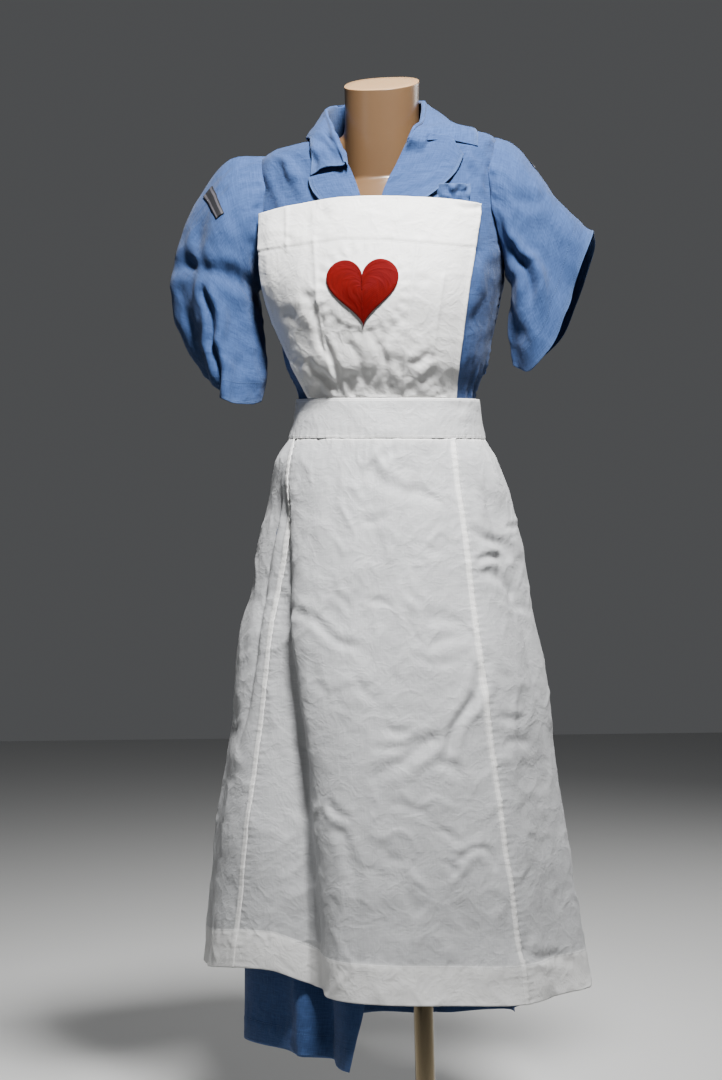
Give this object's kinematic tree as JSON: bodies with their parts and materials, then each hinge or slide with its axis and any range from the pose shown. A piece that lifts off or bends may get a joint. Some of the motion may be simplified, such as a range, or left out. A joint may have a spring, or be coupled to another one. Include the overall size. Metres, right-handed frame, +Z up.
{
  "type": "nurse uniform dress with apron on a dress form",
  "caption": "Short-sleeved blue cotton uniform dress with an open notched collar, under a starched white bib apron, shown on a limbless dress form on a pole stand.",
  "frame": {"origin": "middle of the base plate's underside, on the floor", "axes": "+Z up the pole; the front of the uniform faces -Y; +X is towards the uniform's own left, the viewer's right"},
  "size_m": [0.5746, 0.4277, 1.4843],
  "materials": {
    "dress_cotton": "plain-woven blue cotton with a fine slub, matt",
    "apron_cotton": "starched white cotton, matt",
    "red_cotton": "red cotton, matt",
    "badge_cloth": "dark woven ribbon",
    "button_plastic": "white, satin",
    "form_shell": "beige plastic shell, satin",
    "stand_metal": "polished steel"
  },
  "bodies": {
    "root": {"dress_front_right": "dress_cotton", "dress_front_left": "dress_cotton", "dress_back": "dress_cotton", "dress_sleeve_right": "dress_cotton", "dress_sleeve_left": "dress_cotton", "dress_collar": "dress_cotton", "dress_lapel_right": "dress_cotton", "dress_lapel_left": "dress_cotton", "dress_pocket": "dress_cotton", "dress_skirt_front_right": "dress_cotton", "dress_skirt_front_left": "dress_cotton", "dress_skirt_back": "dress_cotton", "apron_bib": "apron_cotton", "apron_waistband": "apron_cotton", "apron_skirt_front": "apron_cotton", "apron_skirt_side_right": "apron_cotton", "apron_skirt_side_left": "apron_cotton", "apron_motif": "red_cotton", "apron_back_button": "button_plastic", "sleeve_badge_right": "badge_cloth", "sleeve_badge_left": "badge_cloth", "form_torso": "form_shell", "stand_pole": "stand_metal", "stand_socket": "stand_metal", "stand_base": "stand_metal"}
  },
  "joints": []
}
